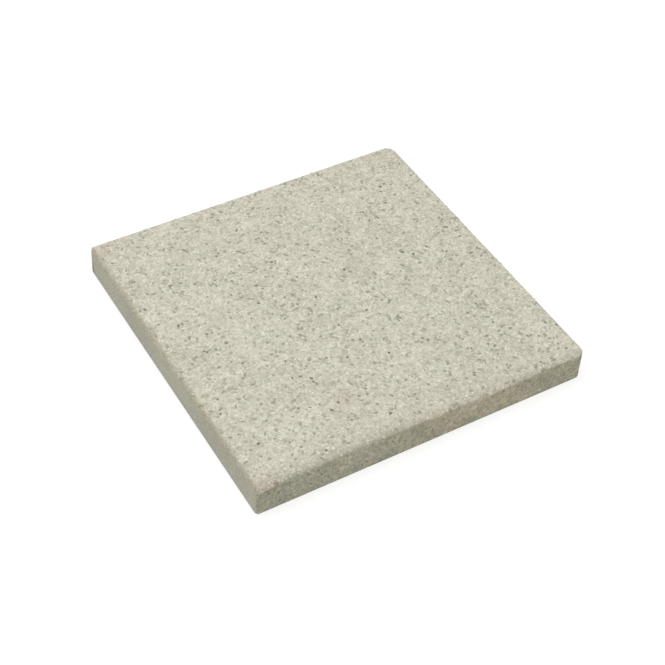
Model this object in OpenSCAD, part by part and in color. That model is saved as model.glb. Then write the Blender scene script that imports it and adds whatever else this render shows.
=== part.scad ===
// Square concrete paving slab with a blasted wearing face.
// The origin is the middle of the bedding face, and +Z points up through the wearing face.

/* [Slab] */
// Length along X, from side face to side face
slab_length = 400; // [200:1:600]
// Width along Y, from side face to side face
slab_width = 400; // [200:1:600]
// Thickness, from the bedding face up to the wearing face
slab_thickness = 38; // [25:0.5:80]

/* [Edges] */
// Radius of the worn arris around the wearing face
arris_radius = 4; // [1:0.25:5]
// Radius of the small arris around the bedding face
foot_radius = 1; // [0.5:0.25:3]

/* [Upright corners] */
// Radius of the near corner, at -X and -Y, which is still crisp
near_corner_radius = 2.5; // [1:0.5:30]
// Radius of the right corner, at +X and -Y
right_corner_radius = 8; // [1:0.5:30]
// Radius of the far corner, at +X and +Y, the most worn one
far_corner_radius = 12; // [1:0.5:30]
// Radius of the left corner, at -X and +Y, which is still crisp
left_corner_radius = 2; // [1:0.5:30]

/* [Hidden] */
$fn = 96;
concrete_colour = [0.79, 0.78, 0.71];
// How far a cut runs past the face that it opens
overrun = 1;
// A corner with a smaller radius than this is crisp: the arrises meet there in a mitre
crisp_below = max(arris_radius, foot_radius);
// Length of a crisp corner along each of its two sides
mitre_length = 2 * crisp_below;

// One row for each side face: its turn about Z, its length, its distance from the middle,
// and the corner radii at its start and its end, seen from outside
sides = [
    [0, slab_length, slab_width / 2, near_corner_radius, right_corner_radius],
    [90, slab_width, slab_length / 2, right_corner_radius, far_corner_radius],
    [180, slab_length, slab_width / 2, far_corner_radius, left_corner_radius],
    [270, slab_width, slab_length / 2, left_corner_radius, near_corner_radius],
];

// How much of a side's length belongs to a corner
function corner_length(radius) = radius < crisp_below ? mitre_length : radius;

// What rounding takes off a square edge at the origin whose two faces run towards -X and -Y
module edge_waste(radius) {
    translate([-radius, -radius])
        difference() {
            square(radius + overrun);
            circle(radius);
        }
}

// Section from the inside out to one side face at -X, with both of its arrises
module half_section(reach) {
    mirror([1, 0])
        difference() {
            square([reach, slab_thickness]);
            translate([reach, slab_thickness])
                edge_waste(arris_radius);
            translate([reach, 0])
                mirror([0, 1])
                    edge_waste(foot_radius);
        }
}

// Body behind one side face, straight from its start for a given length
module flank(start, length, reach) {
    translate([start, 0])
        rotate([90, 0, 90])
            linear_extrude(length)
                half_section(reach);
}

// Turned post that rounds the upright corner at the start of a side, with its arrises
module turned_corner(length, reach, radius) {
    translate([radius - length / 2, radius - reach])
        rotate_extrude()
            mirror([1, 0])
                half_section(radius);
}

// Block at a crisp upright corner at the start of a side, where the arrises of both sides meet
module crisp_corner(length, reach, radius) {
    intersection() {
        flank(-length / 2, mitre_length, reach);
        mirror([1, -1])
            flank(-reach, mitre_length, length / 2);
        translate([-length / 2, -reach])
            linear_extrude(slab_thickness)
                difference() {
                    square(mitre_length);
                    rotate(180)
                        edge_waste(radius);
                }
    }
}

module slab() {
    color(concrete_colour)
        for (side = sides)
            rotate([0, 0, side[0]]) {
                start = corner_length(side[3]);
                flank(start - side[1] / 2, side[1] - start - corner_length(side[4]), side[2]);
                if (side[3] < crisp_below)
                    crisp_corner(side[1], side[2], side[3]);
                else
                    turned_corner(side[1], side[2], side[3]);
            }
}

slab();
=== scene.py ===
"""Dresses the concrete paving slab: a cast body with a blasted, granular wearing face, on a pale floor.

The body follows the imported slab's box and roundings. Its relief, its wear and the grit in its face only go
inwards from that shape, so the dressed slab stays inside the box that the frame gives.
"""

import logging
import math
from dataclasses import dataclass, field
from enum import Enum
from functools import partial, reduce
from typing import Any, Mapping, Sequence

import bpy
import numpy as np
from mathutils import Matrix, Vector

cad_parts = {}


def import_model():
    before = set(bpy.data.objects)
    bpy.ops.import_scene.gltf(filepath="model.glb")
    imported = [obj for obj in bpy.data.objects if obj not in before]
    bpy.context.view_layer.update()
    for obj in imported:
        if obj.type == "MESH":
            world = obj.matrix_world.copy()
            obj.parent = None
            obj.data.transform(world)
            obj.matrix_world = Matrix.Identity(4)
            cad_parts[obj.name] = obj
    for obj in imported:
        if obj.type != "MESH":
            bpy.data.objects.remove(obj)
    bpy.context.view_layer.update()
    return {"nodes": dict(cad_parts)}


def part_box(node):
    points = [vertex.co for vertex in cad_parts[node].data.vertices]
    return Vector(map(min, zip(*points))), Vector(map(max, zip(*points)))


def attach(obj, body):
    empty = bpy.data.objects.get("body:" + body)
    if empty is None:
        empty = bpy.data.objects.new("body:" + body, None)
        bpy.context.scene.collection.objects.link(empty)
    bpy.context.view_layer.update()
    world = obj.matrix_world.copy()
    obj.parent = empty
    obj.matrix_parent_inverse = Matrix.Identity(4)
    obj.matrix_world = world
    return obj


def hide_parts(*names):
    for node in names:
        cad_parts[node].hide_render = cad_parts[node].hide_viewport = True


MM = 0.001
BODY = "root"
SLAB_NODE = "slab"
BAKE_MAP = "OFBake"
LOG = logging.getLogger("paving_slab")

Triple = tuple[float, float, float]
Array = np.ndarray
Socket = bpy.types.NodeSocket
Node = bpy.types.Node
Mesh = bpy.types.Mesh
Material = bpy.types.Material


class Upright(Enum):
    """The four upright corners, by the signs of their X and Y."""

    NEAR = (-1, -1)
    RIGHT = (1, -1)
    FAR = (1, 1)
    LEFT = (-1, 1)


class Side(Enum):
    """The four sides, in the order in which the body measures its distances to them."""

    LEFT = 0
    FRONT = 1
    RIGHT = 2
    BACK = 3


class Trait(Enum):
    """Vertex attributes that the body hands on to its relief, its grit and its finish."""

    BELOW = "below"
    ARRIS = "arris"
    WEAR = "wear"
    WARMTH = "warmth"
    BROWN = "brown"
    # Painted shade on the left and front arrises and in the shade smudges, partly grime: it darkens the
    # colour and the grains.
    GRIME = "grime"
    SPECKS = "specks"
    ROUGHCAST = "roughcast"
    BLASTED = "blasted"


class Stone(Enum):
    """Kinds of grit in the face mix, each with its share of the points, from and to."""

    PALE = (-1.0, 0.44)
    SAND = (0.44, 0.88)
    GREY = (0.88, 0.988)
    DARK = (0.988, 9.0)


class Draw(Enum):
    """What is drawn at random for each grain, with the seed of the draw."""

    KIND = 11
    SHADE = 12
    TINGE = 13
    SIZE = 14
    SPIN = 15
    SHAPE = 16


def open_socket(sockets: Sequence[Socket], name: str) -> Socket:
    """Find a socket that is in use under the node's present settings.

    Args:
        sockets: A node's inputs or outputs.
        name: The socket's label.

    Returns:
        The first enabled socket with that label.
    """
    return next(socket for socket in sockets if socket.name == name and socket.enabled)


def rgba(colour: Any) -> Any:
    """Add full alpha to a plain colour, and hand a socket back as it is."""
    if isinstance(colour, tuple):
        return (*colour, 1.0)
    return colour


class Graph:
    """Builds one node tree: adds nodes, sets their inputs and links them."""

    def __init__(self, tree: bpy.types.NodeTree) -> None:
        """Start on the tree with no nodes in it."""
        self.tree = tree
        tree.nodes.clear()

    def add(self, kind: str, inputs: Mapping[str, Any] | None = None, **settings: Any) -> Node:
        """Add a node.

        Args:
            kind: Blender's type name of the node.
            inputs: Values, sockets or nodes for the inputs, by label.
            **settings: Properties of the node, set before its inputs.

        Returns:
            The new node.
        """
        node = self.tree.nodes.new(kind)
        for name, value in settings.items():
            setattr(node, name, value)
        for name, value in (inputs or {}).items():
            self.feed(open_socket(node.inputs, name), value)
        return node

    def feed(self, socket: Socket, value: Any) -> None:
        """Give an input a plain value, or link it.

        Args:
            socket: The input.
            value: A plain value, an output socket, or a node whose first output is meant.
        """
        if isinstance(value, Node):
            value = next(output for output in value.outputs if output.enabled)
        if isinstance(value, Socket):
            self.tree.links.new(value, socket)
        else:
            socket.default_value = value

    def _apply(self, kind: str, operation: str, terms: Sequence[Any]) -> Socket:
        """Add a node that works on its inputs in order.

        Args:
            kind: Blender's type name of the node.
            operation: Blender's name of the operation.
            terms: Values or sockets, in order.

        Returns:
            The result's socket.
        """
        node = self.add(kind, operation=operation)
        for socket, value in zip([socket for socket in node.inputs if socket.enabled], terms):
            self.feed(socket, value)
        return next(output for output in node.outputs if output.enabled)

    def calc(self, operation: str, *terms: Any) -> Socket:
        """Work on numbers and return the socket of the result."""
        return self._apply("ShaderNodeMath", operation, terms)

    def vector(self, operation: str, *terms: Any) -> Socket:
        """Work on vectors or colours and return the socket of the result."""
        return self._apply("ShaderNodeVectorMath", operation, terms)

    def product(self, *factors: Any) -> Socket:
        """Multiply any number of factors and return the socket of the result."""
        return reduce(partial(self.calc, "MULTIPLY"), factors)

    def total(self, *terms: Any) -> Socket:
        """Add any number of terms and return the socket of the result."""
        return reduce(partial(self.calc, "ADD"), terms)

    def within_one(self, value: Any) -> Socket:
        """Hold a value between 0 and 1."""
        return self.calc("MINIMUM", self.calc("MAXIMUM", value, 0.0), 1.0)

    def ease(self, value: Any, low: Any, high: Any, start: Any = 0.0, end: Any = 1.0) -> Socket:
        """Ease from one value to another as a third runs from low to high.

        Args:
            value: The value that runs.
            low: Where the ease begins.
            high: Where it ends.
            start: The result up to low.
            end: The result from high on.

        Returns:
            The result's socket.
        """
        inputs = {"Value": value, "From Min": low, "From Max": high, "To Min": start, "To Max": end}
        return self.add("ShaderNodeMapRange", inputs, interpolation_type="SMOOTHSTEP").outputs["Result"]

    def noise(self, place: Any, size: float, detail: float = 2.0, rough: float = 0.5) -> Socket:
        """Add a noise whose lumps are about one size across.

        Args:
            place: The coordinates' socket, in metres.
            size: Width of a lump in metres.
            detail: Octaves of finer noise.
            rough: Strength of each finer octave.

        Returns:
            The noise's value, about 0.5 on average.
        """
        inputs = {"Vector": place, "Scale": 1.0 / size, "Detail": detail, "Roughness": rough}
        return self.add("ShaderNodeTexNoise", inputs).outputs[0]

    def swing(self, noise: Any, spread: Any, middle: float = 0.0) -> Socket:
        """Centre a value that runs from 0 to 1, and scale it.

        Args:
            noise: The value's socket.
            spread: How far the result goes to either side.
            middle: The result where the value is 0.5.

        Returns:
            The result's socket.
        """
        centred = self.calc("MULTIPLY_ADD", noise, 2.0, -1.0)
        return self.calc("MULTIPLY_ADD", centred, spread, middle)

    def cells(self, place: Any, size: float) -> Node:
        """Add a cell pattern of one cell size in metres and return its node."""
        return self.add("ShaderNodeTexVoronoi", {"Vector": place, "Scale": 1.0 / size})

    def cell_tone(self, place: Any, size: float) -> Socket:
        """A number from 0 to 1 that each cell of a pattern has to itself."""
        cells = self.cells(place, size)
        return self.add("ShaderNodeSeparateColor", {"Color": cells.outputs["Color"]}).outputs[0]

    def blend(self, factor: Any, first: Any, second: Any, kind: str = "MIX") -> Socket:
        """Blend two colours.

        Args:
            factor: How much of the second colour shows.
            first: The colour underneath.
            second: The colour laid over it.
            kind: Blender's name of the blend.

        Returns:
            The blended colour's socket.
        """
        inputs = {"Factor": factor, "A": rgba(first), "B": rgba(second)}
        node = self.add("ShaderNodeMix", inputs, data_type="RGBA", blend_type=kind)
        return open_socket(node.outputs, "Result")

    def ramp(self, value: Any, colours: Sequence[Triple]) -> Socket:
        """Turn a value from 0 to 1 into a colour.

        Args:
            value: The value's socket.
            colours: Colours at even steps from 0 to 1.

        Returns:
            The colour's socket.
        """
        node = self.add("ShaderNodeValToRGB", {"Fac": value})
        elements = node.color_ramp.elements
        while len(elements) < len(colours):
            elements.new(1.0)
        for element, step, colour in zip(elements, np.linspace(0.0, 1.0, len(colours)), colours):
            element.position = step
            element.color = rgba(colour)
        return node.outputs["Color"]

    def trait(self, trait: Trait) -> Socket:
        """Read one of the body's traits in a material."""
        return self.add("ShaderNodeAttribute", attribute_name=trait.value).outputs["Fac"]


class MeshGraph(Graph):
    """A Geometry Nodes tree with named inputs, run once on a mesh."""

    def __init__(self, name: str) -> None:
        """Make a tree that takes geometry in and gives geometry out.

        Args:
            name: The tree's name.
        """
        super().__init__(bpy.data.node_groups.new(name, "GeometryNodeTree"))
        for way in ("INPUT", "OUTPUT"):
            self.tree.interface.new_socket("Geometry", in_out=way, socket_type="NodeSocketGeometry")
        self.values: dict[str, Any] = {}

    def declare(self, name: str, value: Any, kind: str = "NodeSocketFloat") -> None:
        """Declare a named input and the value that the modifier gives it."""
        item = self.tree.interface.new_socket(name, in_out="INPUT", socket_type=kind)
        self.values[item.identifier] = value

    def given(self) -> Mapping[str, Socket]:
        """Add the group's input node, once every input is declared, and return its sockets."""
        return self.add("NodeGroupInput").outputs

    def position(self) -> Socket:
        """The position field."""
        return self.add("GeometryNodeInputPosition").outputs[0]

    def read(self, name: str, kind: str = "FLOAT") -> Socket:
        """Read a named attribute."""
        return self.add("GeometryNodeInputNamedAttribute", {"Name": name}, data_type=kind).outputs[0]

    def trait(self, trait: Trait) -> Socket:
        """Read one of the body's traits."""
        return self.read(trait.value)

    def store(
        self, geometry: Any, name: str, value: Any, kind: str = "FLOAT", domain: str = "POINT"
    ) -> Node:
        """Write a named attribute.

        Args:
            geometry: The geometry that gets it.
            name: The attribute's name.
            value: Its value.
            kind: Blender's name of its type.
            domain: Blender's name of its domain.

        Returns:
            The node that hands the geometry on.
        """
        inputs = {"Geometry": geometry, "Name": name, "Value": value}
        return self.add("GeometryNodeStoreNamedAttribute", inputs, data_type=kind, domain=domain)

    def draw(self, what: Draw, low: Any = 0.0, high: Any = 1.0, kind: str = "FLOAT") -> Socket:
        """Draw a value for each point.

        Args:
            what: What is drawn.
            low: The least value.
            high: The greatest value.
            kind: Blender's name of the value's type.

        Returns:
            The value's socket.
        """
        inputs = {"Min": low, "Max": high, "Seed": what.value}
        node = self.add("FunctionNodeRandomValue", inputs, data_type=kind)
        return open_socket(node.outputs, "Value")

    def finish(self, geometry: Any, material: Material) -> None:
        """Realize the geometry, give it its material and hand it out.

        Args:
            geometry: The finished geometry.
            material: Its material.
        """
        real = self.add("GeometryNodeRealizeInstances", {"Geometry": geometry})
        dressed = self.add("GeometryNodeSetMaterial", {"Geometry": real, "Material": material})
        self.add("NodeGroupOutput", {"Geometry": dressed})

    def run(self, mesh: Mesh, name: str) -> Mesh:
        """Evaluate the tree on a mesh.

        Args:
            mesh: The mesh that goes in.
            name: Name of the mesh that comes out.

        Returns:
            A plain mesh with the result.
        """
        holder = bpy.data.objects.new(f"{name}_maker", mesh)
        bpy.context.scene.collection.objects.link(holder)
        modifier = holder.modifiers.new(self.tree.name, "NODES")
        modifier.node_group = self.tree
        for identifier, value in self.values.items():
            modifier[identifier] = value
        depsgraph = bpy.context.evaluated_depsgraph_get()
        made = bpy.data.meshes.new_from_object(
            holder.evaluated_get(depsgraph), preserve_all_data_layers=True, depsgraph=depsgraph
        )
        made.name = name
        holder.modifiers.remove(modifier)
        bpy.data.objects.remove(holder)
        return made


def new_material(name: str) -> tuple[Material, Graph]:
    """Make a material with nothing in its tree.

    Args:
        name: The material's name.

    Returns:
        The material, and the builder of its tree.
    """
    material = bpy.data.materials.new(name)
    material.use_nodes = True
    return material, Graph(material.node_tree)


def add_piece(name: str, mesh: Mesh) -> bpy.types.Object:
    """Link a finished mesh as a piece that rides on the slab's body.

    Args:
        name: The piece's name.
        mesh: Its mesh, in place.

    Returns:
        The piece.
    """
    piece = bpy.data.objects.new(name, mesh)
    bpy.context.scene.collection.objects.link(piece)
    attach(piece, BODY)
    LOG.info("%s: %d faces", name, len(mesh.polygons))
    return piece


def smoothstep(value: Array, low: float, high: float) -> Array:
    """Ease from 0 at low to 1 at high."""
    share = np.clip((value - low) / (high - low), 0.0, 1.0)
    return share * share * (3.0 - 2.0 * share)


@dataclass(frozen=True)
class Mottle:
    """One scale of light and dark in a finish: the size of its lumps and how far the shade swings."""

    size: float
    spread: float
    detail: float = 2.0
    rough: float = 0.5

    def factor(self, graph: Graph, place: Any) -> Socket:
        """The shade's factor, about 1, at object coordinates."""
        return graph.swing(graph.noise(place, self.size, self.detail, self.rough), self.spread, 1.0)


def shade_of(mottles: Sequence[Mottle], graph: Graph, place: Any) -> Socket:
    """The factor of several mottles together, at object coordinates."""
    return graph.product(*[mottle.factor(graph, place) for mottle in mottles])


@dataclass(frozen=True)
class Patch:
    """A round patch of the wearing face, in millimetres: its middle, its reach and its strength."""

    x: float
    y: float
    reach: float
    strength: float

    def at(self, place: Array) -> Array:
        """Strength of the patch at plan positions."""
        away = np.hypot(place[:, 0] - self.x * MM, place[:, 1] - self.y * MM)
        return self.strength * np.exp(-((away / (self.reach * MM)) ** 2))


def patched(patches: Sequence[Patch], place: Array) -> Array:
    """Strength of all patches together at plan positions, from 0 to 1."""
    return np.clip(sum((patch.at(place) for patch in patches), np.zeros(len(place))), 0.0, 1.0)


@dataclass(frozen=True)
class Knock:
    """A corner knocked off flat: which one, at its top or its foot, how deep and how steep."""

    corner: Upright
    at_top: bool
    depth: float
    tilt: float

    def bend(self, points: Array, half: Array, thickness: float) -> Array:
        """Cut off what lies beyond the knocked face.

        Args:
            points: Places on the slab.
            half: Half of the slab's length and width.
            thickness: The slab's thickness.

        Returns:
            The places after the knock.
        """
        way = np.array([*self.corner.value, self.tilt if self.at_top else -self.tilt])
        centre = np.array([*(half * way[:2]), thickness if self.at_top else 0.0])
        normal = way / np.linalg.norm(way)
        over = np.maximum((points - centre) @ normal + self.depth, 0.0)
        return points - over[:, None] * normal


@dataclass(frozen=True)
class ShadeSmudge:
    """A dark spot painted into a side's colour, in millimetres.

    It has a middle in plan, a depth below the wearing face, a reach along the side, a rise up and down the
    side, and a strength.
    """

    x: float
    y: float
    depth: float
    reach: float
    rise: float
    strength: float

    def at(self, plan: Array, drop: Array) -> Array:
        """Darkness of the spot.

        Args:
            plan: X and Y of points on the square blank.
            drop: Their depths below the wearing face.

        Returns:
            The darkness at each point, up to the smudge's strength.
        """
        along = np.hypot(plan[:, 0] - self.x * MM, plan[:, 1] - self.y * MM) / (self.reach * MM)
        down = (drop - self.depth * MM) / (self.rise * MM)
        return self.strength * np.exp(-((along**2 + down**2) ** 2))


@dataclass(frozen=True)
class FrontWear:
    """Wear of the front arris, at shares of its length from the near corner to the right one.

    Depths says how far the edge is worn down, and edges how far the blasted face comes down the side, both
    in millimetres. Browns says how brown the side is, and the shade and grime levels how dark the arris is
    with painted shade, partly grime. Reach says how far the wear goes in from the edge.
    """

    shares: tuple[float, ...] = (
        0.0, 0.03, 0.06, 0.10, 0.20, 0.32, 0.44, 0.56, 0.64, 0.69, 0.80, 0.88, 0.94, 1.0
    )
    depths: tuple[float, ...] = (4.4, 3.2, 1.2, 0.4, 0.5, 0.8, 0.8, 1.0, 1.6, 2.8, 1.8, 0.8, 1.4, 1.8)
    edges: tuple[float, ...] = (4.6, 2.0, 0.0, -0.8, -0.2, -1.1, -0.5, 0.6, 2.0, 3.2, 0.6, 0.6, 1.0, 1.2)
    browns: tuple[float, ...] = (
        0.25, 0.24, 0.23, 0.22, 0.20, 0.28, 0.45, 0.72, 0.75, 0.72, 0.70, 0.50, 0.40, 0.40
    )
    # Painted shade, partly grime, along the front arris.
    shade_and_grime_levels: tuple[float, ...] = (
        0.34, 0.40, 0.50, 0.52, 0.42, 0.52, 0.32, 0.22, 0.12, 0.10, 0.12, 0.18, 0.16, 0.16
    )
    reach: float = 11.0 * MM

    def at(self, row: Sequence[float], share: Array) -> Array:
        """One of the rows of values at shares of the length."""
        return np.interp(share, self.shares, row)


RUST: Triple = (0.93, 0.76, 0.72)


@dataclass(frozen=True)
class ConcreteFinish:
    """Concrete of the body: blasted on the wearing face, as cast on the sides and underneath."""

    name: str = "concrete"
    paste: tuple[Triple, ...] = ((0.46, 0.444, 0.364), (0.56, 0.541, 0.444), (0.65, 0.63, 0.525))
    grey_cast: Triple = (0.581, 0.572, 0.470)
    warm_cast: Triple = (0.624, 0.570, 0.428)
    brown_skin: Triple = (0.593, 0.540, 0.386)
    green_skin: Triple = (0.521, 0.505, 0.392)
    # Colour multiplied in by the shade-and-grime trait: painted shade on the arrises and at the corner,
    # partly grime.
    grime: Triple = (0.45, 0.441, 0.424)
    grain_size: float = 2.6 * MM
    face_mottles: tuple[Mottle, ...] = (
        Mottle(1.8 * MM, 0.14, 2.0, 0.5),
        Mottle(9.0 * MM, 0.22, 3.0, 0.55),
        Mottle(40.0 * MM, 0.16, 3.0),
    )
    skin_mottles: tuple[Mottle, ...] = (
        Mottle(2.0 * MM, 0.74, 4.0, 0.6),
        Mottle(6.0 * MM, 0.16),
        Mottle(80.0 * MM, 0.10),
    )
    roughcast_mottles: tuple[Mottle, ...] = (
        Mottle(2.6 * MM, 0.64, 5.0, 0.62),
        Mottle(5.0 * MM, 0.32),
        Mottle(34.0 * MM, 0.34, 3.0),
    )
    roughcast_grain: float = 0.13
    speck_size: float = 4.0 * MM
    speck_from: float = 0.69
    speck_to: float = 0.77
    speck_shade: float = 0.6
    cloud_size: float = 22.0 * MM
    cloud_spread: float = 1.0
    roughness: float = 0.92
    roughness_swing: float = 0.06
    specular: float = 0.25
    pore_size: float = 1.2 * MM
    pore_depth: float = 0.4 * MM
    pore_strength: float = 0.35

    def _blasted(self, graph: Graph, place: Any) -> Socket:
        """Colour of the blasted face.

        Args:
            graph: The material's tree.
            place: Object coordinates.

        Returns:
            The colour's socket.
        """
        colour = graph.ramp(graph.cell_tone(place, self.grain_size), self.paste)
        shaded = graph.vector("SCALE", colour, shade_of(self.face_mottles, graph, place))
        return graph.blend(graph.trait(Trait.WARMTH), shaded, RUST, "MULTIPLY")

    def _cast(self, graph: Graph, place: Any) -> Socket:
        """Colour of the sides and the underside.

        Args:
            graph: The material's tree.
            place: Object coordinates.

        Returns:
            The colour's socket.
        """
        cloud = graph.swing(graph.noise(place, self.cloud_size, detail=3.0), self.cloud_spread)
        tint = graph.within_one(graph.total(cloud, graph.trait(Trait.BROWN)))
        stained = graph.blend(tint, self.green_skin, self.brown_skin)
        grain = graph.swing(graph.cell_tone(place, self.grain_size), self.roughcast_grain, 1.0)
        speck = graph.noise(place, self.speck_size, detail=0.0)
        dark = graph.ease(speck, self.speck_from, self.speck_to, 1.0, self.speck_shade)
        rough = graph.product(grain, dark, shade_of(self.roughcast_mottles, graph, place))
        smooth = graph.blend(tint, self.grey_cast, self.warm_cast)
        return graph.blend(
            graph.trait(Trait.ROUGHCAST),
            graph.vector("SCALE", smooth, shade_of(self.skin_mottles, graph, place)),
            graph.vector("SCALE", stained, rough),
        )

    def material(self) -> Material:
        """Build the material.

        Returns:
            A procedural concrete that reads the body's own coordinates and traits.
        """
        material, graph = new_material(self.name)
        place = graph.add("ShaderNodeTexCoord").outputs["Object"]
        blasted = graph.trait(Trait.BLASTED)
        clean = graph.blend(blasted, self._cast(graph, place), self._blasted(graph, place))
        # Painted shade, partly grime, multiplied into the colour along the arrises.
        colour = graph.blend(graph.trait(Trait.GRIME), clean, self.grime, "MULTIPLY")
        rough = graph.swing(graph.noise(place, self.grain_size), self.roughness_swing, self.roughness)
        pores = graph.noise(place, self.pore_size, detail=3.0, rough=0.6)
        bump = graph.add(
            "ShaderNodeBump", {"Height": pores, "Strength": self.pore_strength, "Distance": self.pore_depth}
        )
        shader = graph.add(
            "ShaderNodeBsdfPrincipled",
            {"Base Color": colour, "Roughness": rough, "Normal": bump, "Specular IOR Level": self.specular},
        )
        graph.add("ShaderNodeOutputMaterial", {"Surface": shader})
        return material


@dataclass(frozen=True)
class GritFinish:
    """Broken stone in the face. A grain's shade and warmth are the two coordinates of its palette map."""

    name: str
    shades: tuple[Triple, Triple, Triple]
    roughness: float = 0.85
    specular: float = 0.3

    def material(self) -> Material:
        """Build the material.

        Returns:
            A procedural stone that takes each grain's colour from its place in the palette map.
        """
        material, graph = new_material(self.name)
        palette = graph.add("ShaderNodeUVMap", uv_map=BAKE_MAP)
        part = graph.add("ShaderNodeSeparateXYZ", {"Vector": palette})
        shade = graph.ramp(part.outputs["X"], self.shades)
        colour = graph.blend(part.outputs["Y"], shade, RUST, "MULTIPLY")
        shader = graph.add(
            "ShaderNodeBsdfPrincipled",
            {"Base Color": colour, "Roughness": self.roughness, "Specular IOR Level": self.specular},
        )
        graph.add("ShaderNodeOutputMaterial", {"Surface": shader})
        return material


def grid_quads(index: Array) -> list[tuple[int, ...]]:
    """Quads of a grid of vertices, facing up."""
    quads = np.stack([index[:-1, :-1], index[:-1, 1:], index[1:, 1:], index[1:, :-1]], axis=-1)
    return [tuple(quad) for quad in quads.reshape(-1, 4).tolist()]


def band_quads(upper: Array, lower: Array) -> list[tuple[int, ...]]:
    """Quads between two closed loops of vertices, facing out."""
    quads = np.stack([upper, lower, np.roll(lower, -1), np.roll(upper, -1)], axis=-1)
    return [tuple(quad) for quad in quads.tolist()]


def rim_of(index: Array) -> Array:
    """Border of a grid of vertices, anticlockwise from its first one."""
    return np.concatenate([index[0, :-1], index[:-1, -1], index[-1, :0:-1], index[:0:-1, 0]])


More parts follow.
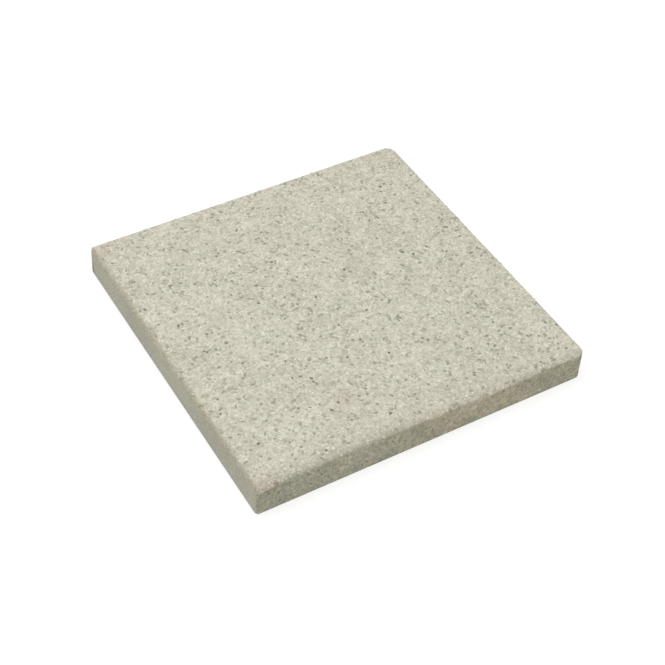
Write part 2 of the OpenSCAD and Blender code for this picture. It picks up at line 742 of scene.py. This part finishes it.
@dataclass
class SlabBody:
    """The cast body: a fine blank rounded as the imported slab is, with relief and wear cut into it."""

    length: float
    width: float
    thickness: float
    finish: ConcreteFinish
    wear: FrontWear
    stains: Sequence[Patch]
    specks: Sequence[Patch]
    knocks: Sequence[Knock]
    shade_smudges: Sequence[ShadeSmudge]
    arris_radius: float = 4.0 * MM
    mitre_length: float = 8.0 * MM
    foot_radius: float = 1.0 * MM
    corner_radius: Mapping[Upright, float] = field(
        default_factory=lambda: {
            Upright.NEAR: 2.5 * MM,
            Upright.RIGHT: 8.0 * MM,
            Upright.FAR: 12.0 * MM,
            Upright.LEFT: 2.0 * MM,
        }
    )
    steps: int = 240
    bed_share: int = 8
    arc_steps: int = 4
    foot_steps: int = 2
    edge_pitch: float = 1.2 * MM
    edge_steps: int = 4
    side_pitch: float = 1.8 * MM
    bed_inset: float = 6.0 * MM
    map_share: float = 0.8
    map_gutter: float = 0.02
    recess: float = 0.35 * MM
    hollow_size: float = 3.8 * MM
    hollow_depth: float = 0.35 * MM
    hollow_from: float = 0.1
    hollow_to: float = 0.8
    sway_size: float = 60.0 * MM
    sway_depth: float = 0.2 * MM
    chip_size: float = 9.0 * MM
    chip_depth: float = 0.7 * MM
    chip_from: float = 0.4
    chip_to: float = 0.75
    chip_reach: float = 6.0 * MM
    far_chips: float = 0.15
    cast_size: float = 8.0 * MM
    cast_depth: float = 0.1 * MM
    rough_size: float = 3.2 * MM
    rough_depth: float = 0.7 * MM
    plain_edge: float = -1.0 * MM
    left_edge: float = -3.2 * MM
    # Painted shade, partly grime, on the left arris: it stands in for the shading of an edge crisper than
    # its rounding.
    left_shade_and_grime: float = 0.58
    side_warmth: float = 0.56
    front_warmth: float = 0.07
    front_warmth_reach: float = 7.0 * MM
    # Reaches and place of the painted shade on the left and front arrises.
    left_shade_reach: float = 4.0 * MM
    front_shade_reach: float = 8.0 * MM
    front_shade_fall: float = 3.0 * MM
    shade_and_grime_place: float = -0.8 * MM
    crisp_turn: float = 1.2 * MM
    soft_turn: float = 8.0 * MM
    edge_wave: float = 2.0 * MM
    edge_wave_size: float = 11.0 * MM
    edge_blur: float = 1.8 * MM
    mesh: Mesh | None = None

    @property
    def half(self) -> Array:
        """Half of the length and half of the width."""
        return np.array([self.length, self.width]) / 2.0

    @staticmethod
    def _arc(radius: float, steps: int) -> Array:
        """Places along one leg of a square edge that rounding spaces evenly over half of its arc.

        Args:
            radius: Radius of the rounding.
            steps: Steps over half of the arc.

        Returns:
            Distances from the square edge, from 0 to the radius.
        """
        turn = np.linspace(math.pi / 4.0, 0.0, steps + 1)
        return radius * (1.0 - np.tan(turn))

    def _lines(self, span: float) -> Array:
        """Grid lines across the wearing face, closer together along its edges.

        Args:
            span: Length or width of the slab.

        Returns:
            Places from one side face to the other.
        """
        worn = self.arris_radius + self.edge_pitch * np.arange(1, self.edge_steps + 1)
        band = np.concatenate([self._arc(self.arris_radius, self.arc_steps), worn])
        even = np.linspace(band[-1], span - band[-1], self.steps - 2 * len(band) + 3)
        return np.concatenate([band[:-1], even, span - band[-2::-1]]) - span / 2.0

    def _drops(self) -> Array:
        """Depths of the rows down the sides, below the wearing face, from the first row to the foot."""
        top = self._arc(self.arris_radius, self.arc_steps)[1:]
        foot = self.thickness - self._arc(self.foot_radius, self.foot_steps)[::-1]
        rows = round((foot[0] - top[-1]) / self.side_pitch)
        return np.concatenate([top, np.linspace(top[-1], foot[0], rows + 1)[1:], foot[1:]])

    @staticmethod
    def _arris(inset: Array, drop: Array, radius: float) -> tuple[Array, Array]:
        """Round one square edge.

        Args:
            inset: Distances from the first face of the edge.
            drop: Distances from the second face.
            radius: Radius of the rounding.

        Returns:
            The distances on the rounded edge.
        """
        across = radius - inset
        down = radius - drop
        inside = (across > 0.0) & (down > 0.0)
        share = np.maximum(across, down) / np.maximum(np.hypot(across, down), np.finfo(float).tiny)
        scale = np.where(inside, share, 1.0)
        return radius - across * scale, radius - down * scale

    def _rounded(self, plan: Array, drop: Array) -> Array:
        """Round the edges and corners of points on the square blank.

        Args:
            plan: X and Y of the points on the square blank.
            drop: Their depths below the wearing face.

        Returns:
            The points' places on the rounded slab.
        """
        sign = np.where(plan < 0.0, -1.0, 1.0)
        gap = self.half - np.abs(plan)
        inset = gap.min(axis=1)
        arris_inset, arris_drop = self._arris(inset, drop, self.arris_radius)
        foot_inset, foot_lift = self._arris(inset, self.thickness - drop, self.foot_radius)
        low = drop > self.thickness / 2.0
        new_inset = np.where(low, foot_inset, arris_inset)
        new_drop = np.where(low, self.thickness - foot_lift, arris_drop)
        moved = gap.copy()
        moved[np.arange(len(plan)), gap.argmin(axis=1)] = new_inset
        for corner, radius in self.corner_radius.items():
            reach = max(radius, self.mitre_length)
            near = (sign == np.array(corner.value)).all(axis=1) & (gap < reach).all(axis=1)
            shrink = (reach - new_inset[near]) / (reach - inset[near])
            moved[near] = reach - (reach - gap[near]) * shrink[:, None]
            turned = near & (moved < radius).all(axis=1)
            ray = radius - moved[turned]
            moved[turned] = radius - ray * (ray.max(axis=1) / np.linalg.norm(ray, axis=1))[:, None]
        points = np.column_stack([(self.half - moved) * sign, self.thickness - new_drop])
        for knock in self.knocks:
            points = knock.bend(points, self.half, self.thickness)
        return points

    def blank(self) -> Mesh:
        """Make the smooth blank.

        Returns:
            A closed mesh with its map and its traits.
        """
        across = self._lines(self.length)
        along = self._lines(self.width)
        count = self.steps + 1
        face_plan = np.stack(np.meshgrid(across, along), axis=-1).reshape(-1, 2)
        face = np.arange(count * count).reshape(count, count)
        rim = rim_of(face)
        rim_plan = face_plan[rim]
        drops = self._drops()
        bed_insets = self._arc(self.foot_radius, self.foot_steps)[1:]
        bed_lines = np.meshgrid(across[:: self.bed_share], along[:: self.bed_share])
        bed_plan = np.stack(bed_lines, axis=-1).reshape(-1, 2) * (1.0 - self.bed_inset / self.half)
        plans = [face_plan] + [rim_plan] * len(drops)
        plans += [rim_plan * (1.0 - inset / self.half) for inset in bed_insets] + [bed_plan]
        levels = [0.0, *drops, *[self.thickness] * (len(bed_insets) + 1)]
        plan = np.concatenate(plans)
        drop = np.concatenate([np.full(len(part), level) for part, level in zip(plans, levels)])
        starts = len(face_plan) + len(rim) * np.arange(len(drops) + len(bed_insets) + 1)
        loops = [rim] + [start + np.arange(len(rim)) for start in starts[:-1]]
        faces = grid_quads(face)
        for upper, lower in zip(loops[: len(drops)], loops[1:]):
            faces += band_quads(upper, lower)
        outside = len(faces)
        for upper, lower in zip(loops[len(drops):], loops[len(drops) + 1:]):
            faces += band_quads(upper, lower)
        bed_count = self.steps // self.bed_share + 1
        bed = starts[-1] + np.arange(bed_count * bed_count).reshape(bed_count, bed_count)
        faces += self._bridge(loops[-1], rim_of(bed))
        faces += [quad[::-1] for quad in grid_quads(bed)]
        mesh = bpy.data.meshes.new("slab_blank")
        mesh.from_pydata(self._rounded(plan, drop).tolist(), [], faces)
        self._map(mesh, plan, drop, outside)
        self._mark(mesh, plan, drop)
        mesh.shade_smooth()
        return mesh

    def _bridge(self, fine: Array, coarse: Array) -> list[tuple[int, ...]]:
        """Join the fine ring of the underside to its coarse grid.

        Args:
            fine: Vertices of the fine ring.
            coarse: Vertices of the coarse grid's border.

        Returns:
            One polygon for each coarse edge.
        """
        polygons = []
        for step in range(len(coarse)):
            places = (step * self.bed_share + np.arange(self.bed_share + 1)) % len(fine)
            run = fine[places].tolist()
            ends = (int(coarse[step]), int(coarse[(step + 1) % len(coarse)]))
            polygons.append((run[0], *ends, *run[:0:-1]))
        return polygons

    def _map(self, mesh: Mesh, plan: Array, drop: Array, outside: int) -> None:
        """Lay the body out flat: the wearing face with the sides round it, and the underside beside them.

        Args:
            mesh: The blank.
            plan: X and Y of its vertices on the square blank.
            drop: Their depths below the wearing face.
            outside: Number of faces before the first one of the underside.
        """
        spread = plan * (1.0 + drop[:, None] / self.half)
        umbrella = (spread / (self.half + self.thickness) + 1.0) / 2.0 * self.map_share
        bed_width = 1.0 - self.map_share - 2.0 * self.map_gutter
        bed = (plan / self.half + 1.0) / 2.0 * [bed_width, self.map_share]
        bed += [self.map_share + self.map_gutter, 0.0]
        corners = np.empty(len(mesh.loops), dtype=np.int32)
        mesh.loops.foreach_get("vertex_index", corners)
        under = np.arange(len(corners)) >= mesh.polygons[outside].loop_start
        flat = np.where(under[:, None], bed[corners], umbrella[corners])
        layer = mesh.uv_layers.new(name=BAKE_MAP)
        layer.uv.foreach_set("vector", flat.astype(np.float32).ravel())

    def _mark(self, mesh: Mesh, plan: Array, drop: Array) -> None:
        """Write the traits that the relief, the grit and the finish read.

        Args:
            mesh: The blank.
            plan: X and Y of its vertices on the square blank.
            drop: Their depths below the wearing face.
        """
        gaps = np.column_stack([self.half + plan, self.half - plan])
        nearest = gaps.argmin(axis=1)
        under = drop >= self.thickness
        inset = np.where(under, 0.0, gaps.min(axis=1))
        front_inset = gaps[:, Side.FRONT.value]
        share = gaps[:, Side.LEFT.value] / self.length
        on_left = nearest == Side.LEFT.value
        on_front = (nearest == Side.FRONT.value) & ~under
        turn = np.where(on_left, self.crisp_turn, self.soft_turn)
        front = 1.0 - smoothstep(front_inset / turn, 0.0, 1.0)
        chipped = np.where(nearest >= Side.RIGHT.value, self.far_chips, 1.0)
        front_edge = self.wear.at(self.wear.edges, share) * MM
        # Painted shade, partly grime, along the left and front arrises, and the shade smudges.
        front_shade_and_grime = self.wear.at(self.wear.shade_and_grime_levels, share)
        edge = np.select([on_left, on_front], [self.left_edge, front_edge], self.plain_edge)
        grime = np.select([on_left, on_front], [self.left_shade_and_grime, front_shade_and_grime], 0.0)
        past = drop - inset - self.shade_and_grime_place
        front_reach = np.where(past > 0.0, self.front_shade_fall, self.front_shade_reach)
        grime *= np.exp(-((past / np.where(on_front, front_reach, self.left_shade_reach)) ** 2))
        for shade_smudge in self.shade_smudges:
            grime = np.maximum(grime, shade_smudge.at(plan, drop))
        slope = 1.0 - smoothstep(np.hypot(front_inset, drop), 0.0, self.wear.reach)
        warmth = self.front_warmth * np.exp(-((np.hypot(front_inset, drop) / self.front_warmth_reach) ** 2))
        side_brown = self.side_warmth * (1.0 - drop / self.thickness)
        traits = {
            Trait.BELOW: drop - inset - edge,
            Trait.ARRIS: chipped * np.exp(-(((inset + drop) / self.chip_reach) ** 2)),
            Trait.WEAR: self.wear.at(self.wear.depths, share) * MM * slope,
            Trait.WARMTH: patched(self.stains, plan) + warmth,
            Trait.BROWN: np.where(on_front, self.wear.at(self.wear.browns, share), side_brown),
            Trait.GRIME: grime,
            Trait.SPECKS: patched(self.specks, plan) * (drop == 0.0),
            Trait.ROUGHCAST: front * (drop > 0.0) * ~under,
        }
        for trait, values in traits.items():
            attribute = mesh.attributes.new(trait.value, "FLOAT", "POINT")
            attribute.data.foreach_set("value", values.astype(np.float32))

    def relief(self) -> MeshGraph:
        """Build the tree that cuts the blasted relief and the wear into the blank.

        Returns:
            The tree with its sizes set.
        """
        graph = MeshGraph("slab_relief")
        sizes = {
            "Recess": self.recess,
            "Hollow Depth": self.hollow_depth,
            "Sway Depth": self.sway_depth,
            "Chip Depth": self.chip_depth,
            "Cast Depth": self.cast_depth,
            "Rough Depth": self.rough_depth,
            "Edge Wave": self.edge_wave,
            "Edge Blur": self.edge_blur,
        }
        for name, value in sizes.items():
            graph.declare(name, value)
        given = graph.given()
        place = graph.position()
        wave = graph.swing(graph.noise(place, self.edge_wave_size), given["Edge Wave"])
        below = graph.total(graph.trait(Trait.BELOW), wave)
        blur = given["Edge Blur"]
        blasted = graph.ease(below, graph.calc("MULTIPLY", blur, -1.0), blur, 1.0, 0.0)
        cast = graph.calc("SUBTRACT", 1.0, blasted)
        from_grain = graph.cells(place, self.hollow_size).outputs["Distance"]
        hollow = graph.ease(from_grain, self.hollow_from, self.hollow_to)
        chip = graph.noise(place, self.chip_size, detail=3.0, rough=0.6)
        chip = graph.ease(chip, self.chip_from, self.chip_to)
        rough = graph.noise(place, self.rough_size)
        cut = graph.total(
            graph.product(blasted, given["Recess"]),
            graph.product(blasted, hollow, given["Hollow Depth"]),
            graph.product(blasted, graph.noise(place, self.sway_size), given["Sway Depth"]),
            graph.product(graph.trait(Trait.ARRIS), chip, given["Chip Depth"]),
            graph.product(cast, graph.noise(place, self.cast_size, detail=3.0), given["Cast Depth"]),
            graph.product(cast, graph.trait(Trait.ROUGHCAST), rough, given["Rough Depth"]),
        )
        normal = graph.add("GeometryNodeInputNormal").outputs[0]
        inward = graph.vector("SCALE", normal, graph.calc("MULTIPLY", cut, -1.0))
        sink = graph.calc("MULTIPLY", graph.trait(Trait.WEAR), -1.0)
        worn = graph.vector("ADD", inward, graph.add("ShaderNodeCombineXYZ", {"Z": sink}).outputs[0])
        marked = graph.store(given["Geometry"], Trait.BLASTED.value, blasted)
        moved = graph.add("GeometryNodeSetPosition", {"Geometry": marked, "Offset": worn})
        graph.finish(moved, self.finish.material())
        return graph

    def build(self) -> None:
        """Make the blank and cut the relief into it."""
        self.mesh = self.relief().run(self.blank(), "slab_body")

    def dress(self) -> bpy.types.Object:
        """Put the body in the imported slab's place.

        Returns:
            The piece.
        """
        piece = add_piece("slab_body", self.mesh)
        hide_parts(SLAB_NODE)
        return piece


@dataclass
class GritLayer:
    """The grit of one kind that shows in the wearing face."""

    stone: Stone
    finish: GritFinish
    body: SlabBody
    small: Triple
    large: Triple
    spacing: float = 3.2 * MM
    seat: float = 0.3 * MM
    shapes: int = 8
    shape_size: float = 0.8
    shape_spread: float = 0.6
    shape_shift: float = 3.0
    shape_turn: Triple = (1.0, 2.0, 0.0)
    side_shift: float = 0.11
    arris_share: float = 0.6
    cluster_size: float = 30.0 * MM
    cluster_spread: float = 0.03
    mottle_size: float = 10.0 * MM
    mottle_spread: float = 0.55
    cloud_size: float = 40.0 * MM
    cloud_spread: float = 0.35
    tinge_spread: float = 0.13
    # How far the painted shade and grime on the arrises darken the grains.
    shade_and_grime_weight: float = 1.2
    map_margin: float = 0.02
    map_patch: float = 0.004
    most_points: float = 1.0e6
    seed: int = 7
    mesh: Mesh | None = None

    def scatter(self) -> MeshGraph:
        """Build the tree that sets the grains into the face.

        Returns:
            The tree with its sizes set.
        """
        graph = MeshGraph(f"{self.finish.name}_scatter")
        graph.declare("Spacing", self.spacing)
        graph.declare("Seat", self.seat)
        graph.declare("Small", self.small, "NodeSocketVector")
        graph.declare("Large", self.large, "NodeSocketVector")
        graph.declare("Seed", self.seed, "NodeSocketInt")
        given = graph.given()
        points = graph.add(
            "GeometryNodeDistributePointsOnFaces",
            {
                "Mesh": given["Geometry"],
                "Distance Min": given["Spacing"],
                "Density Max": self.most_points,
                "Density Factor": graph.trait(Trait.BLASTED),
                "Seed": given["Seed"],
            },
            distribute_method="POISSON",
        )
        marked, chosen = self._sort(graph, points.outputs["Points"])
        spin = graph.add(
            "FunctionNodeAxisAngleToRotation",
            {"Axis": (0.0, 0.0, 1.0), "Angle": graph.draw(Draw.SPIN, 0.0, math.tau)},
        )
        turn = graph.add(
            "FunctionNodeRotateRotation",
            {"Rotation": points.outputs["Rotation"], "Rotate By": spin},
            rotation_space="LOCAL",
        )
        laid = graph.add(
            "GeometryNodeInstanceOnPoints",
            {
                "Points": marked,
                "Selection": chosen,
                "Instance": self._grains(graph),
                "Pick Instance": True,
                "Instance Index": graph.draw(Draw.SHAPE, 0, self.shapes - 1, "INT"),
                "Rotation": turn,
                "Scale": graph.draw(Draw.SIZE, given["Small"], given["Large"], "FLOAT_VECTOR"),
            },
        )
        down = graph.add("ShaderNodeCombineXYZ", {"Z": graph.calc("MULTIPLY", given["Seat"], -1.0)})
        sunk = graph.add(
            "GeometryNodeTranslateInstances", {"Instances": laid, "Translation": down, "Local Space": True}
        )
        real = graph.add("GeometryNodeRealizeInstances", {"Geometry": sunk})
        worn = graph.add("GeometryNodeSetPosition", {"Geometry": real, "Position": self._inside(graph)})
        mapped = graph.store(worn, BAKE_MAP, self._palette(graph), "FLOAT2", "CORNER")
        graph.finish(mapped, self.finish.material())
        return graph

    def _grains(self, graph: MeshGraph) -> Node:
        """Make a handful of broken grains for the scatter to pick from.

        Args:
            graph: The scatter's tree.

        Returns:
            The node that hands the grains on as instances.
        """
        heap = graph.add("GeometryNodeGeometryToInstance")
        for number in range(self.shapes):
            ball = graph.add("GeometryNodeMeshIcoSphere", {"Radius": 1.0, "Subdivisions": 1})
            place = graph.position()
            spot = graph.vector("ADD", place, (number * self.shape_shift, 0.0, 0.0))
            swell = graph.swing(graph.noise(spot, self.shape_size), self.shape_spread, 1.0)
            bent = graph.vector("SCALE", place, swell)
            broken = graph.add("GeometryNodeSetPosition", {"Geometry": ball, "Position": bent})
            turn = tuple(number * angle for angle in self.shape_turn)
            turned = graph.add("GeometryNodeTransform", {"Geometry": broken, "Rotation": turn})
            graph.feed(heap.inputs[0], graph.store(turned, "local", graph.position(), "FLOAT_VECTOR"))
        return heap

    def _sort(self, graph: MeshGraph, points: Any) -> tuple[Node, Socket]:
        """Draw each point's kind of stone, shade and tinge.

        Args:
            graph: The scatter's tree.
            points: The scattered points.

        Returns:
            The points with their shade and tinge, and which of them are of this kind.
        """
        place = graph.position()
        cluster = graph.swing(graph.noise(place, self.cluster_size), self.cluster_spread)
        arris = graph.product(graph.trait(Trait.ARRIS), self.arris_share)
        shift = graph.product(graph.total(graph.trait(Trait.ROUGHCAST), arris), -self.side_shift)
        lot = graph.total(graph.draw(Draw.KIND), cluster, graph.trait(Trait.SPECKS), shift)
        low, high = self.stone.value
        chosen = graph.product(graph.calc("GREATER_THAN", lot, low), graph.calc("LESS_THAN", lot, high))
        mottle = graph.swing(graph.noise(place, self.mottle_size), self.mottle_spread)
        cloud = graph.swing(graph.noise(place, self.cloud_size, detail=3.0), self.cloud_spread)
        # Painted shade and grime on the arrises darken the grains' shade.
        shade_and_grime_drop = graph.product(graph.trait(Trait.GRIME), -self.shade_and_grime_weight)
        shade = graph.within_one(graph.total(graph.draw(Draw.SHADE), mottle, cloud, shade_and_grime_drop))
        tinge = graph.product(graph.draw(Draw.TINGE), self.tinge_spread)
        tinge = graph.total(tinge, graph.trait(Trait.WARMTH))
        marked = graph.store(points, "shade", shade)
        return graph.store(marked, "tinge", graph.within_one(tinge)), chosen

    def _inside(self, graph: MeshGraph) -> Socket:
        """Wear off what stands out of the slab's box.

        Args:
            graph: The scatter's tree.

        Returns:
            Positions of the grains' vertices.
        """
        half = self.body.half
        upper = (half[0], half[1], self.body.thickness)
        lower = (-half[0], -half[1], 0.0)
        return graph.vector("MINIMUM", graph.vector("MAXIMUM", graph.position(), lower), upper)

    def _palette(self, graph: MeshGraph) -> Socket:
        """Find each grain's place in its palette map, with its shade across and its tinge up.

        Args:
            graph: The scatter's tree.

        Returns:
            Coordinates in the map, spread over a small patch for each grain.
        """
        place = {"X": graph.read("shade"), "Y": graph.read("tinge")}
        spot = graph.add("ShaderNodeCombineXYZ", place).outputs[0]
        spot = graph.vector("SCALE", spot, 1.0 - 2.0 * self.map_margin)
        spot = graph.vector("ADD", spot, (self.map_margin, self.map_margin, 0.0))
        patch = graph.vector("SCALE", graph.read("local", "FLOAT_VECTOR"), self.map_patch)
        return graph.vector("ADD", spot, patch)

    def build(self) -> None:
        """Set the grains into the finished body."""
        self.mesh = self.scatter().run(self.body.mesh, self.finish.name)

    def dress(self) -> bpy.types.Object:
        """Link the layer as a piece."""
        return add_piece(self.finish.name, self.mesh)


@dataclass(frozen=True)
class Studio:
    """Pale floor, soft light and the camera at the photograph's angle."""

    aim_height: float
    floor_half: float = 6.0
    floor_gap: float = 0.2 * MM
    floor_colour: Triple = (0.35, 0.35, 0.35)
    floor_glow: float = 0.7
    far_glow: float = 0.76
    near_reach: float = 0.6
    far_reach: float = 2.6
    sky_level: float = 0.7285
    key_size: float = 2.0
    key_place: Triple = (-0.5, 0.15, 2.1)
    key_power: float = 20.5
    azimuth: float = -32.213
    elevation: float = 45.325
    distance: float = 1641.19 * MM
    roll: float = 2.978
    slide: tuple[float, float] = (1.33 * MM, -38.29 * MM)
    focal_pixels: float = 1492.3
    frame_pixels: float = 665.0
    sensor: float = 36.0

    @staticmethod
    def _seen(graph: Graph) -> Socket:
        """1 for a ray from the camera, a reflection or a clear body, and 0 for a ray that carries light."""
        path = graph.add("ShaderNodeLightPath")
        seen = graph.calc("MAXIMUM", path.outputs["Is Camera Ray"], path.outputs["Is Glossy Ray"])
        return graph.calc("MAXIMUM", seen, path.outputs["Is Transmission Ray"])

    def _floor_material(self) -> Material:
        """Pale matt floor that is white to the camera and keeps the slab's shadow."""
        material, graph = new_material("studio_floor")
        matt = graph.add("ShaderNodeBsdfDiffuse", {"Color": rgba(self.floor_colour)})
        away = graph.vector("LENGTH", graph.add("ShaderNodeTexCoord").outputs["Object"])
        level = graph.ease(away, self.near_reach, self.far_reach, self.floor_glow, self.far_glow)
        glow = graph.add("ShaderNodeEmission", {"Strength": graph.product(self._seen(graph), level)})
        both = graph.add("ShaderNodeAddShader")
        for socket, shader in zip(both.inputs, (matt, glow)):
            graph.feed(socket, shader)
        graph.add("ShaderNodeOutputMaterial", {"Surface": both})
        return material

    def floor(self) -> None:
        """Lay the floor just under the slab."""
        signs = [corner.value for corner in Upright]
        corners = [(x * self.floor_half, y * self.floor_half, -self.floor_gap) for x, y in signs]
        mesh = bpy.data.meshes.new("floor")
        mesh.from_pydata(corners, [], [range(len(corners))])
        mesh.materials.append(self._floor_material())
        piece = bpy.data.objects.new("floor", mesh)
        bpy.context.scene.collection.objects.link(piece)

    def sky(self) -> None:
        """Set an even sky round the scene, white to the camera."""
        world = bpy.data.worlds.new("studio_sky")
        world.use_nodes = True
        graph = Graph(world.node_tree)
        level = graph.ease(self._seen(graph), 0.0, 1.0, self.sky_level, 1.0)
        sky = graph.add("ShaderNodeBackground", {"Color": (1.0, 1.0, 1.0, 1.0), "Strength": level})
        graph.add("ShaderNodeOutputWorld", {"Surface": sky})
        bpy.context.scene.world = world

    def key(self) -> None:
        """Hang the soft key light over the slab."""
        lamp = bpy.data.lights.new("key", "AREA")
        lamp.shape = "DISK"
        lamp.size = self.key_size
        lamp.energy = self.key_power
        key = bpy.data.objects.new("key", lamp)
        key.location = self.key_place
        aim = Vector((0.0, 0.0, self.aim_height)) - Vector(self.key_place)
        key.rotation_euler = aim.to_track_quat("-Z", "Y").to_euler()
        bpy.context.scene.collection.objects.link(key)

    def camera(self) -> None:
        """Set up the camera at the photograph's angle, distance and framing."""
        turn = math.radians(self.azimuth)
        rise = math.radians(self.elevation)
        back = Vector((math.sin(turn) * math.cos(rise), -math.cos(turn) * math.cos(rise), math.sin(rise)))
        right = Vector((math.cos(turn), math.sin(turn), 0.0))
        up = back.cross(right)
        lean = math.radians(self.roll)
        side = right * math.cos(lean) + up * math.sin(lean)
        head = up * math.cos(lean) - right * math.sin(lean)
        place = back * self.distance + side * self.slide[0] + head * self.slide[1]
        place.z += self.aim_height
        data = bpy.data.cameras.new("photo_camera")
        data.sensor_width = self.sensor
        data.lens = self.focal_pixels / self.frame_pixels * self.sensor
        camera = bpy.data.objects.new("photo_camera", data)
        stand = Matrix((side, head, back)).transposed().to_4x4()
        stand.translation = place
        camera.matrix_world = stand
        bpy.context.scene.collection.objects.link(camera)
        bpy.context.scene.camera = camera

    def build(self) -> None:
        """Set up the whole studio."""
        bpy.context.scene.view_settings.view_transform = "Standard"
        self.floor()
        self.sky()
        self.key()
        self.camera()


PALE_GRIT = GritFinish("pale_grit", ((0.56, 0.543, 0.450), (0.635, 0.620, 0.527), (0.735, 0.724, 0.634)))
SAND_GRIT = GritFinish("sand_grit", ((0.46, 0.443, 0.356), (0.55, 0.532, 0.436), (0.63, 0.612, 0.511)))
GREY_GRIT = GritFinish("grey_grit", ((0.32, 0.312, 0.241), (0.40, 0.390, 0.305), (0.48, 0.467, 0.373)))
DARK_GRIT = GritFinish("dark_grit", ((0.20, 0.194, 0.141), (0.27, 0.263, 0.196), (0.36, 0.350, 0.267)))

STAINS = tuple(
    Patch(x, y, reach, strength)
    for x, y, reach, strength in (
        (-192.0, 180.0, 24.0, 0.23), (-198.0, 130.0, 16.0, 0.14), (-185.0, 105.0, 12.0, 0.16),
        (-198.0, 0.0, 26.0, 0.18), (-160.0, 12.0, 9.0, 0.16), (-105.0, 40.0, 9.0, 0.16),
        (-180.0, -60.0, 18.0, 0.16), (-115.0, -112.0, 15.0, 0.2), (-66.0, -135.0, 18.0, 0.2),
        (-15.0, -100.0, 15.0, 0.2), (-190.0, -188.0, 22.0, 0.18), (-120.0, -198.0, 22.0, 0.16),
        (-5.0, -202.0, 34.0, 0.15), (85.0, -202.0, 30.0, 0.12), (135.0, -160.0, 12.0, 0.16),
        (180.0, -185.0, 16.0, 0.16), (192.0, 40.0, 10.0, 0.16), (185.0, 170.0, 14.0, 0.16),
    )
)

SPECKS = tuple(
    Patch(x, y, reach, 1.0)
    for x, y, reach in (
        (-52.0, -76.0, 2.6), (110.0, 28.0, 2.2), (188.0, -142.0, 2.2),
        (-4.0, 120.0, 2.2), (76.0, -170.0, 2.4), (-28.0, 82.0, 2.2),
        (-24.0, -18.0, 2.2), (72.0, 46.0, 2.2), (-52.0, 186.0, 2.4),
        (72.0, 178.0, 2.2), (-94.0, 102.0, 2.2), (114.0, -176.0, 2.4),
        (50.0, -60.0, 2.2), (-168.0, -148.0, 2.2), (-178.0, -143.0, 2.2),
        (-158.0, -8.0, 2.4),
    )
)

KNOCKS = (Knock(Upright.NEAR, False, 2.1 * MM, 1.0), Knock(Upright.LEFT, True, 3.0 * MM, 0.09))

# Painted shade at the left corner's foot, where a chipped face turns from the light, and a darker patch high
# on the front side by the near corner.
SHADE_SMUDGES = (ShadeSmudge(-200.0, 197.0, 29.0, 4.6, 8.5, 0.75), ShadeSmudge(-170.0, -200.0, 6.0, 28.0, 6.5, 0.26))


def in_mm(x: float, y: float, z: float) -> Triple:
    """A size given in millimetres, in metres."""
    return (x * MM, y * MM, z * MM)


def main() -> None:
    """Build the slab and its studio from the CAD model's box."""
    logging.basicConfig(level=logging.INFO, format="%(name)s %(message)s")
    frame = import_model()
    LOG.info("frame with nodes %s", ", ".join(frame["nodes"]))
    low, high = (Vector(corner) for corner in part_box(SLAB_NODE))
    size = high - low
    body = SlabBody(size.x, size.y, size.z, ConcreteFinish(), FrontWear(), STAINS, SPECKS, KNOCKS, SHADE_SMUDGES)
    body.build()
    layers = [
        GritLayer(Stone.PALE, PALE_GRIT, body, in_mm(1.0, 1.0, 0.42), in_mm(2.2, 1.8, 0.66)),
        GritLayer(Stone.SAND, SAND_GRIT, body, in_mm(1.0, 1.0, 0.42), in_mm(2.2, 1.8, 0.66)),
        GritLayer(Stone.GREY, GREY_GRIT, body, in_mm(1.3, 0.9, 0.5), in_mm(3.5, 2.1, 0.75)),
        GritLayer(Stone.DARK, DARK_GRIT, body, in_mm(1.4, 1.0, 0.5), in_mm(3.0, 2.0, 0.75)),
    ]
    for layer in layers:
        layer.build()
    body.dress()
    for layer in layers:
        layer.dress()
    Studio(size.z).build()


if __name__ == "__main__":
    main()
